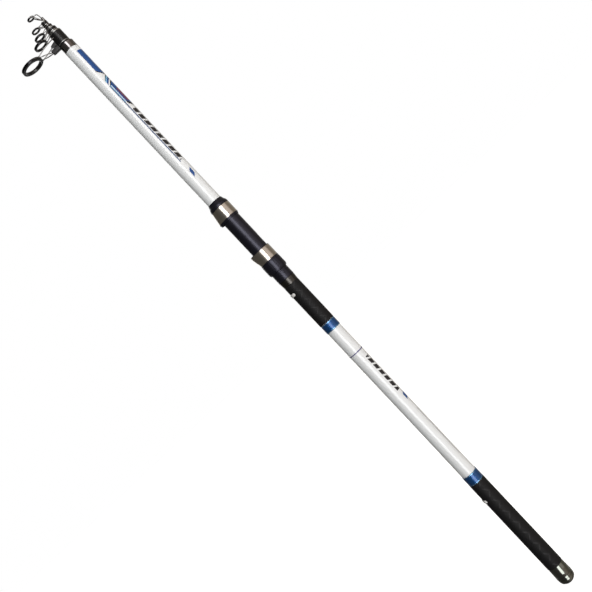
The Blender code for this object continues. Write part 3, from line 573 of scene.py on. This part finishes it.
def clips(finish):
    """The two small clips that hug the grips on the reel side, thinner towards their ends."""
    for name, half in (("upper_clip", radians(58)), ("lower_clip", radians(42))):
        low, high = heights_of(name)
        middle, reach = (low + high) / 2, 2.4 * MM
        inner = blank_radius(middle) + GAP + GRIP_WALL + 0.02 * MM
        bm = bmesh.new()
        loops = []
        steps = 40
        for step in range(steps + 1):
            angle = half * (2 * step / steps - 1)
            share = min(1.0, (half - abs(angle)) / radians(14))
            across = reach * (0.35 + 0.65 * (share * (2 - share)) ** 0.5)
            wall = (0.35 + 0.75 * share) * MM
            outline = rounded([(0.0, -across), (wall, -across), (wall, across), (0.0, across)], 0.3 * MM, 3)
            loop = []
            for out, up in outline:
                place = (-(inner + out) * cos(angle), (inner + out) * sin(angle), middle + up)
                loop.append(bm.verts.new(place))
            loops.append(loop)
        for first, second in zip(loops, loops[1:]):
            for index in range(len(first)):
                after = (index + 1) % len(first)
                bm.faces.new((first[index], first[after], second[after], second[index]))
        bm.faces.new(loops[0])
        bm.faces.new(loops[-1])
        piece(name + "_look", bm, "butt", finish, [name])


# ---------------------------------------------------------------- guides


def wires(name, paths, radius, body, material, stands_for=()):
    """Round wires on smooth curves through the points."""
    curve = bpy.data.curves.new(name, "CURVE")
    curve.dimensions = "3D"
    curve.bevel_depth = radius
    curve.bevel_resolution = 4
    curve.resolution_u = 10
    curve.use_fill_caps = True
    for path in paths:
        spline = curve.splines.new("BEZIER")
        spline.bezier_points.add(len(path) - 1)
        for point, place in zip(spline.bezier_points, path):
            point.co = place
            point.handle_left_type = point.handle_right_type = "AUTO"
    curve.materials.append(material)
    obj = bpy.data.objects.new(name, curve)
    bpy.context.scene.collection.objects.link(obj)
    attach(obj, body)
    if stands_for:
        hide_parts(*stands_for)


def round_hoop(centre, reach, angle, side, rise, steps=4):
    """Points that follow a hoop's outside, from the angle on, on one side of it."""
    angles = [angle + radians(26) * step / steps for step in range(steps + 1)]
    return [centre + Vector((reach * cos(a), side * reach * sin(a), rise)) for a in angles]


# Radius of each ring's hole, in mm.
HOLES = {"stripper": 12.7, "middle_guide": 7.5, "upper_guide": 5.7, "sliding_guide": 4.6, "tip_top": 3.5}


def ring_parts(guide, body, ceramic_finish, hoop_finish, cushion_finish):
    """The polished ring, its cushion if it has one, and their hoop. Returns the centre and hoop radius."""
    low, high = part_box(guide + "_ring")
    centre = (low + high) / 2
    outer = (high.y - low.y) / 2
    half = (high.z - low.z) / 2
    hole = HOLES[guide] * MM
    profile = []
    for step in range(16):
        angle = 2 * pi * step / 16
        middle, reach = (hole + outer) / 2, (outer - hole) / 2
        profile.append((middle + reach * cos(angle), centre.z + half * sin(angle)))
    bm = turned(profile, 80, (centre.x, centre.y))
    piece(guide + "_ring_look", bm, body, ceramic_finish, [guide + "_ring"], smooth=80)
    if cushion_finish:
        low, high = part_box(guide + "_shock_ring")
        inner, outer = outer - 0.1 * MM, (high.y - low.y) / 2 + 0.1 * MM
        reach = (high.z - low.z) / 2
        outline = rounded([(inner, centre.z - reach), (outer, centre.z - reach), (outer, centre.z + reach),
                           (inner, centre.z + reach)], 0.5 * MM)
        bm = turned(outline, 80, (centre.x, centre.y))
        piece(guide + "_cushion_look", bm, body, cushion_finish, [guide + "_shock_ring"])
    hoop = outer + GAP + 0.9 * MM
    reach = 0.8 * half
    outline = rounded([(outer, centre.z - reach), (hoop, centre.z - reach), (hoop, centre.z + reach),
                       (outer, centre.z + reach)], 0.35 * MM)
    piece(guide + "_hoop_look", turned(outline, 80, (centre.x, centre.y)), body, hoop_finish)
    return centre, hoop


def legs(guide, centre, hoop, starts, wire):
    """A pair of wires for each start: (foot, hoop angle, rise). The foot is on the +Y side."""
    paths = []
    for foot, angle, rise in starts:
        for side in (-1, 1):
            start = Vector((foot[0], side * foot[1], foot[2]))
            around = round_hoop(centre, hoop + 0.35 * wire, angle, side, rise)
            bow = side * 0.05 * (around[0] - start).length
            middle = start.lerp(around[0], 0.5) + Vector((0.0, bow, 0.0))
            paths.append([start, middle, *around])
    return paths


def collar_look(node, body, material, edge=0.7 * MM):
    """A guide's winding: round, set towards -X where it covers the guide's feet, its ends tapering off."""
    low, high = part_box(node)
    radius = (high.y - low.y) / 2
    shift = (low.x + high.x) / 2
    bore = min(high.x - 0.3 * MM, radius - 0.3 * MM)
    count = 14
    outline = [(bore, low.z), (radius - edge, low.z)]
    for step in range(count + 1):
        height = low.z + edge * 0.6 + (high.z - low.z - 1.2 * edge) * step / count
        outline.append((radius, height))
    outline += [(radius - edge, high.z), (bore, high.z)]
    bm = turned(outline)
    for vert in bm.verts:
        if vert.co.xy.length > bore + 0.1 * MM:
            vert.co.x += shift
    piece(node + "_look", bm, body, material, [node])


def guides(finishes):
    """The four ring guides on their windings, and the tip-top."""
    steel, hoop_finish, ring_finish = finishes["wire"], finishes["hoop"], finishes["ceramic"]
    for guide in ("stripper", "middle_guide", "upper_guide", "sliding_guide"):
        cushion = finishes["rubber"] if guide == "stripper" else None
        centre, hoop = ring_parts(guide, guide, ring_finish, hoop_finish, cushion)
        winding = guide + ("_collar" if guide == "sliding_guide" else "_winding")
        low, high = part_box(winding)
        collar_look(winding, guide, finishes[winding])
        radius = (high.y - low.y) / 2 - 0.8 * MM
        shift = (low.x + high.x) / 2
        length = high.z - low.z
        wire = (0.75 if guide == "stripper" else 0.6) * MM
        side = radians(46)
        front = (shift - radius * cos(side), radius * sin(side), low.z + 0.72 * length)
        starts = [(front, radians(34), 0.0)]
        if guide == "stripper":
            foot_low, foot_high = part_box("stripper_foot")
            foot = (foot_low.x + 1.0 * MM, 0.25 * (foot_high.y - foot_low.y), (foot_low.z + foot_high.z) / 2)
            starts.append((foot, radians(22), -0.3 * MM))
        else:
            side = radians(20)
            back = (shift - radius * cos(side), radius * sin(side), low.z + 0.24 * length)
            starts.append((back, radians(20), -0.2 * MM))
        paths = legs(guide, centre, hoop, starts, wire)
        wires(guide + "_wires", paths, wire, guide, steel, [guide + "_frame"])
    tip_top(finishes)


def tip_top(finishes):
    """Tube on the tip's end, with a loop of wire, two braces and the smallest ring."""
    centre, hoop = ring_parts("tip_top", "tip_top", finishes["ceramic"], finishes["hoop"], None)
    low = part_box("tip_top_frame")[0]
    top = low.z + 6.0 * MM
    radius = 1.9 * MM
    outline = [(1.35 * MM, low.z), (radius, low.z), (radius, top - 0.6 * MM), (radius - 0.5 * MM, top)]
    tube = turned([*outline, (0.6 * MM, top + 0.7 * MM), (0.0, top + 0.8 * MM)], closed=False)
    piece("tip_tube_look", tube, "tip_top", finishes["wire"], ["tip_top_frame"])
    wire = 0.75 * MM
    paths = []
    for side in (-1, 1):
        foot = Vector((-radius + 0.3 * MM, side * 0.5 * MM, low.z + 2.0 * MM))
        around = round_hoop(centre, hoop + 0.3 * wire, radians(64), side, 0.0)
        paths.append([foot, foot.lerp(around[0], 0.5), *around])
    spine = [Vector((-0.9 * MM, 0.0, top)), Vector((-1.3 * MM, 0.0, top + 5.0 * MM))]
    spine += [Vector((-2.4 * MM, 0.0, centre.z - 1.2 * MM)), Vector((-4.4 * MM, 0.0, centre.z))]
    spine += [centre + Vector((hoop, 0.0, 0.0))]
    paths.append(spine)
    wires("tip_top_wires", paths, wire, "tip_top", finishes["wire"])


def stripper_foot(plastic):
    """The moulded block under the stripper guide, with rounded corners."""
    low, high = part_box("stripper_foot")
    bm = bmesh.new()
    bmesh.ops.create_cube(bm, size=1.0)
    inner = -8.6 * MM
    for vert in bm.verts:
        vert.co.x = inner if vert.co.x > 0 else low.x
        vert.co.y *= high.y - low.y
        vert.co.z = high.z if vert.co.z > 0 else low.z
    outer = [edge for edge in bm.edges if all(vert.co.x < inner - MM for vert in edge.verts)]
    along = [edge for edge in bm.edges if edge not in outer and edge.calc_length() > 9 * MM]
    bmesh.ops.bevel(bm, geom=outer + along, offset=1.5 * MM, segments=5, profile=0.5, affect="EDGES")
    piece("foot_look", bm, "stripper", plastic, ["stripper_foot"], smooth=60)
    # A short wedge of binding where the rear wires leave the winding.
    outline = [(-8.8, 8.2), (-8.8, 14.6), (-12.0, 14.2), (-18.6, 12.2)]
    outline += [(-19.8, 10.6), (-18.8, 9.2), (-13.0, 8.4)]
    bm = bmesh.new()
    half = 1.7 * MM
    for side in (-half, half):
        corners = [bm.verts.new((x * MM, side, low.z + z * MM)) for x, z in rounded(outline, 1.0, 3)]
        bm.faces.new(corners)
    bm.faces.ensure_lookup_table()
    bmesh.ops.bridge_loops(bm, edges=list(bm.edges))
    piece("wedge_look", bm, "stripper", plastic, smooth=60)


def sections(finish):
    """The nested tubes at their full length, each with its wall and the radius its winding leaves, in mm."""
    for name, wall, bore in (("second", 1.0, 8.205), ("third", 0.8, 5.915), ("fourth", 0.6, 3.618)):
        low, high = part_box(name + "_section")
        base = high.x
        tip = bore * MM - GAP
        outline = [(base - wall * MM, low.z), (base, low.z), (tip, high.z), (tip - wall * MM, high.z)]
        piece(name + "_look", turned(outline), name, finish, [name + "_section"])
    low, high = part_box("tip_section")
    outline = [(0.0, low.z), (high.x, low.z), (1.02 * MM, high.z), (0.0, high.z)]
    piece("tip_look", turned(outline, 48), "tip", finish, ["tip_section"])


# ---------------------------------------------------------------- stage


def stage():
    bpy.ops.mesh.primitive_plane_add(size=30.0, location=(0.0, 0.0, -0.0005))
    floor = bpy.context.object
    floor.name = "floor"
    paint = Paint("floor", (0.88, 0.88, 0.88), 0.9)
    paint.vary(0.002, (0.84, 0.84, 0.85), 0.3)
    paint.set("Emission Color", (1.0, 1.0, 1.0, 1.0))
    paint.set("Emission Strength", 0.85)
    floor.data.materials.append(paint.done())
    floor.visible_diffuse = floor.visible_glossy = False  # it is a backdrop and lights nothing


def lamp(name, place, target, size, power, lean=0.0):
    """A soft box, size = (across, up), leaning by an angle in its own plane, out of the camera's sight."""
    data = bpy.data.lights.new(name, "AREA")
    data.shape = "RECTANGLE"
    data.size, data.size_y = size
    data.energy = power
    obj = bpy.data.objects.new(name, data)
    bpy.context.scene.collection.objects.link(obj)
    toward = (Vector(target) - Vector(place)).normalized()
    right = toward.cross(Vector((0.0, 0.0, 1.0))).normalized()
    up = right.cross(toward)
    turn = Matrix((right, up, -toward)).transposed() @ Matrix.Rotation(lean, 3, "Z")
    obj.matrix_world = Matrix.Translation(place) @ turn.to_4x4()
    obj.visible_camera = False


# The room's glow by bearing in degrees, 0 behind the camera and positive towards +X.
ROOM = [(-180, (0.55, 0.55, 0.54)), (-152, (0.30, 0.30, 0.29)), (-125, (0.10, 0.095, 0.085)),
        (-60, (0.09, 0.085, 0.075)), (-30, (0.12, 0.115, 0.11)), (12, (0.42, 0.38, 0.36)),
        (34, (0.60, 0.52, 0.47)), (58, (0.48, 0.39, 0.33)), (82, (0.27, 0.23, 0.19)),
        (112, (0.27, 0.24, 0.20)), (148, (0.45, 0.43, 0.40)), (180, (0.55, 0.55, 0.54))]


def lighting():
    world = bpy.data.worlds.new("studio")
    bpy.context.scene.world = world
    world.use_nodes = True
    tree = world.node_tree
    tree.nodes.clear()
    bearing = tree.nodes.new("ShaderNodeMath")
    bearing.operation = "ARCTAN2"
    split = tree.nodes.new("ShaderNodeSeparateXYZ")
    flip, share = tree.nodes.new("ShaderNodeMath"), tree.nodes.new("ShaderNodeMath")
    flip.operation, share.operation = "MULTIPLY", "MULTIPLY_ADD"
    flip.inputs[1].default_value = -1.0
    share.inputs[1].default_value, share.inputs[2].default_value = 1 / (2 * pi), 0.5
    ramp = tree.nodes.new("ShaderNodeValToRGB")
    stops = ramp.color_ramp.elements
    stops.new(0.5)
    while len(stops) < len(ROOM):
        stops.new(0.5)
    for stop, (angle, colour) in zip(stops, ROOM):
        stop.position = angle / 360 + 0.5
        stop.color = (*colour, 1.0)
    room, white = tree.nodes.new("ShaderNodeBackground"), tree.nodes.new("ShaderNodeBackground")
    white.inputs["Color"].default_value = (1.0, 1.0, 1.0, 1.0)
    mix = tree.nodes.new("ShaderNodeMixShader")
    output = tree.nodes.new("ShaderNodeOutputWorld")
    link = tree.links.new
    link(tree.nodes.new("ShaderNodeTexCoord").outputs["Generated"], split.inputs[0])
    link(split.outputs[0], bearing.inputs[0])
    link(split.outputs[1], flip.inputs[0])
    link(flip.outputs[0], bearing.inputs[1])
    link(bearing.outputs[0], share.inputs[0])
    link(share.outputs[0], ramp.inputs[0])
    link(ramp.outputs[0], room.inputs["Color"])
    link(tree.nodes.new("ShaderNodeLightPath").outputs["Is Camera Ray"], mix.inputs[0])
    link(room.outputs[0], mix.inputs[1])
    link(white.outputs[0], mix.inputs[2])
    link(mix.outputs[0], output.inputs["Surface"])
    middle = (0.0, 0.0, CENTRE_HEIGHT)
    lamp("key", (0.18, -2.2, 0.32), middle, (1.15, 4.2), 72, radians(-8))
    lamp("side", (1.6, -1.2, CENTRE_HEIGHT), middle, (1.4, 2.6), 3.5)
    lamp("back", (-0.8, 2.0, 0.8), middle, (0.8, 2.4), 8)
    bpy.context.scene.view_settings.view_transform = "Standard"


def camera():
    data = bpy.data.cameras.new("camera")
    data.sensor_width = 36.0
    data.lens = 36.0 * CAMERA_DISTANCE / FRAME_WIDTH
    data.clip_start = 0.01
    obj = bpy.data.objects.new("camera", data)
    bpy.context.scene.collection.objects.link(obj)
    right = Vector((cos(CAMERA_ROLL), 0.0, -sin(CAMERA_ROLL)))
    up = Vector((sin(CAMERA_ROLL), 0.0, cos(CAMERA_ROLL)))
    obj.matrix_world = Matrix((right, up, Vector((0.0, -1.0, 0.0)))).transposed().to_4x4()
    obj.location = (CENTRE_SIDE, -CAMERA_DISTANCE, CENTRE_HEIGHT)
    bpy.context.scene.camera = obj


def main():
    camera()
    lighting()
    stage()
    lacquer = white_lacquer()
    chrome = metal("dark_chrome", (0.20, 0.19, 0.19), 0.10)
    gunmetal = metal("gunmetal", (0.52, 0.48, 0.43), 0.20)
    cap_metal = metal("cap_metal", (0.17, 0.18, 0.16), 0.11)
    ring_metal = metal("ring_metal", (0.065, 0.062, 0.058), 0.30)
    plastic = moulded("satin_plastic", (0.004, 0.004, 0.007), 0.34, Specular_Tint=(0.80, 0.80, 1.0, 1.0))
    rubber = moulded("rubber", (0.007, 0.007, 0.007), 0.55, 0.05)
    white = moulded("white_plastic", (0.66, 0.66, 0.64), 0.40)
    silver = (0.62, 0.62, 0.60)
    winding = {}
    for node, lines in (("stripper_winding", (2.6, 21.4, 22.6)), ("middle_guide_winding", (1.0, 5.9)),
                        ("upper_guide_winding", (0.9, 4.6)), ("sliding_guide_collar", (1.1, 6.6))):
        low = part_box(node)[0].z / MM
        bands = [(low + line, low + line + 0.55, silver) for line in lines]
        # The second colour is the painted sheen along each turn.
        winding[node] = thread(node, (0.004, 0.004, 0.0045), (0.011, 0.011, 0.012), bands)
    blues = {}
    for node in ("lower_winding", "upper_winding"):
        low, high = [height / MM for height in heights_of(node)]
        edges = [(low + 0.7, low + 1.3, SKY), (high - 1.3, high - 0.7, SKY)]
        # The second colour is the painted sheen along each turn.
        blues[node] = thread(node, (0.004, 0.050, 0.19), (0.010, 0.11, 0.34), edges, 0.55, 0.7)
    blank(lacquer, chrome)
    sleeve_on_blank("lower_grip", embossed("lower_grip", 20.8, 10.0, 0.9), GRIP_WALL, 0.3 * MM)
    sleeve_on_blank("upper_grip", embossed("upper_grip", 16.4, 12.0, 1.4), GRIP_WALL, 0.3 * MM)
    sleeve_on_blank("lower_winding", blues["lower_winding"], WINDING_WALL, 0.4 * MM)
    sleeve_on_blank("upper_winding", blues["upper_winding"], WINDING_WALL, 0.4 * MM)
    # Its second colour is the painted sheen along each turn.
    violet = thread("violet_thread", (0.05, 0.04, 0.16), (0.12, 0.10, 0.30))
    sleeve_on_blank("seam_ring", violet, SEAM_WALL, 0.2 * MM)
    butt_cap(cap_metal, rubber)
    hoods(gunmetal, plastic)
    seat(plastic, ring_metal)
    lock_nut(plastic)
    clips(white)
    wire = metal("steel_wire", (0.20, 0.195, 0.19), 0.22)
    hoop = metal("black_chrome", (0.022, 0.022, 0.024), 0.25)
    finishes = {"wire": wire, "hoop": hoop, "ceramic": ceramic(), "rubber": rubber, **winding}
    guides(finishes)
    stripper_foot(moulded("foot_plastic", (0.003, 0.003, 0.0035), 0.5))
    sections(graphite())
    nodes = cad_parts
    kept = {"butt_insert": gunmetal, "cap_bumper": rubber,
            "seat_bushing_lower": paper_tape(), "seat_bushing_upper": paper_tape()}
    for name, material in kept.items():
        nodes[name].data.materials.clear()
        nodes[name].data.materials.append(material)
        nodes[name].data.shade_smooth()
        nodes[name].data.set_sharp_from_angle(angle=radians(40))


main()
